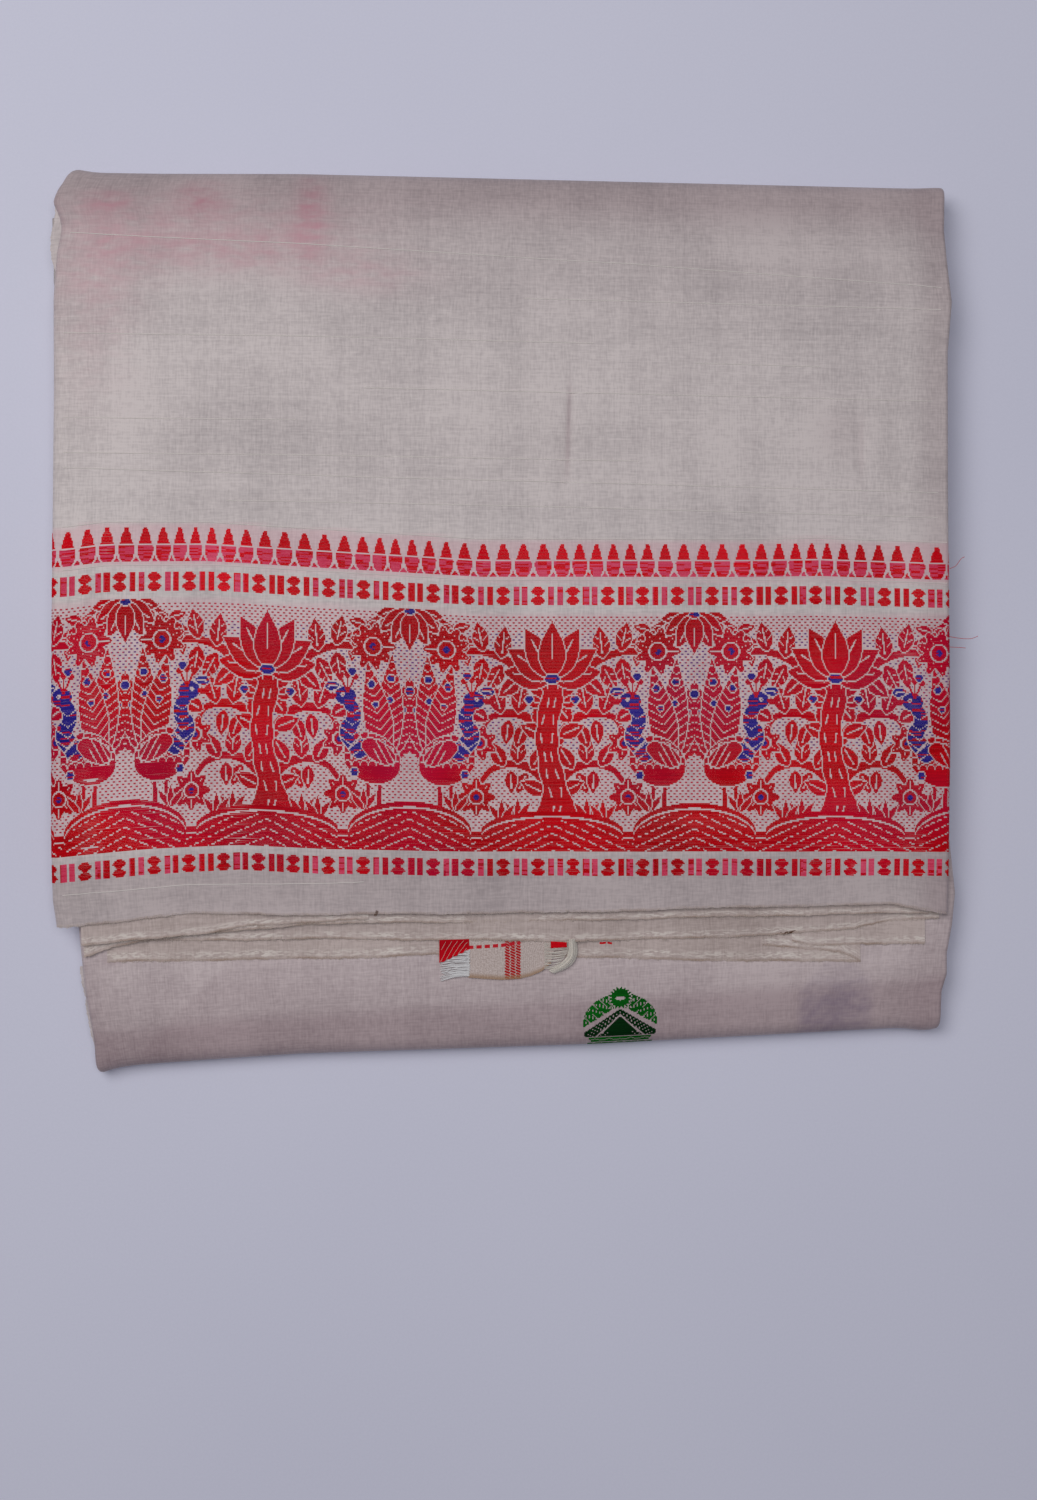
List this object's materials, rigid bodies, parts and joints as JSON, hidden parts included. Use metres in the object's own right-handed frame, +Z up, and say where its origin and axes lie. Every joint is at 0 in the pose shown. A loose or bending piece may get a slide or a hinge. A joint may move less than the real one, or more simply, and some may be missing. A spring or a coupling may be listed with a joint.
{
  "type": "folded saree",
  "caption": "Silk saree folded into a flat square bundle: plain pale field, woven red and blue border, fanned selvedges and a woven end panel peeping out.",
  "frame": {"origin": "middle of the footprint, on the surface that the bundle lies on", "axes": "+X along the folded length of the cloth, +Y from the free selvedges to the far fold, +Z up"},
  "size_m": [0.3986, 0.3952, 0.0223],
  "materials": {
    "silk": "plain woven silk, soft sheen",
    "plies": "folded silk plies seen at their folds",
    "selvedge": "silk with a fuzzy tan selvedge",
    "end_panel": "beige silk with red woven columns",
    "loose_thread": "loose white silk threads"
  },
  "bodies": {
    "root": {"folded_plies": "plies", "top_flap": "silk", "underside": "silk", "near_fold": "silk", "selvedge_ply_2": "selvedge", "selvedge_ply_3": "selvedge", "selvedge_ply_4": "selvedge", "selvedge_ply_5": "selvedge", "end_tab": "end_panel", "tab_floats_left": "loose_thread", "tab_floats_right": "loose_thread"}
  },
  "joints": []
}
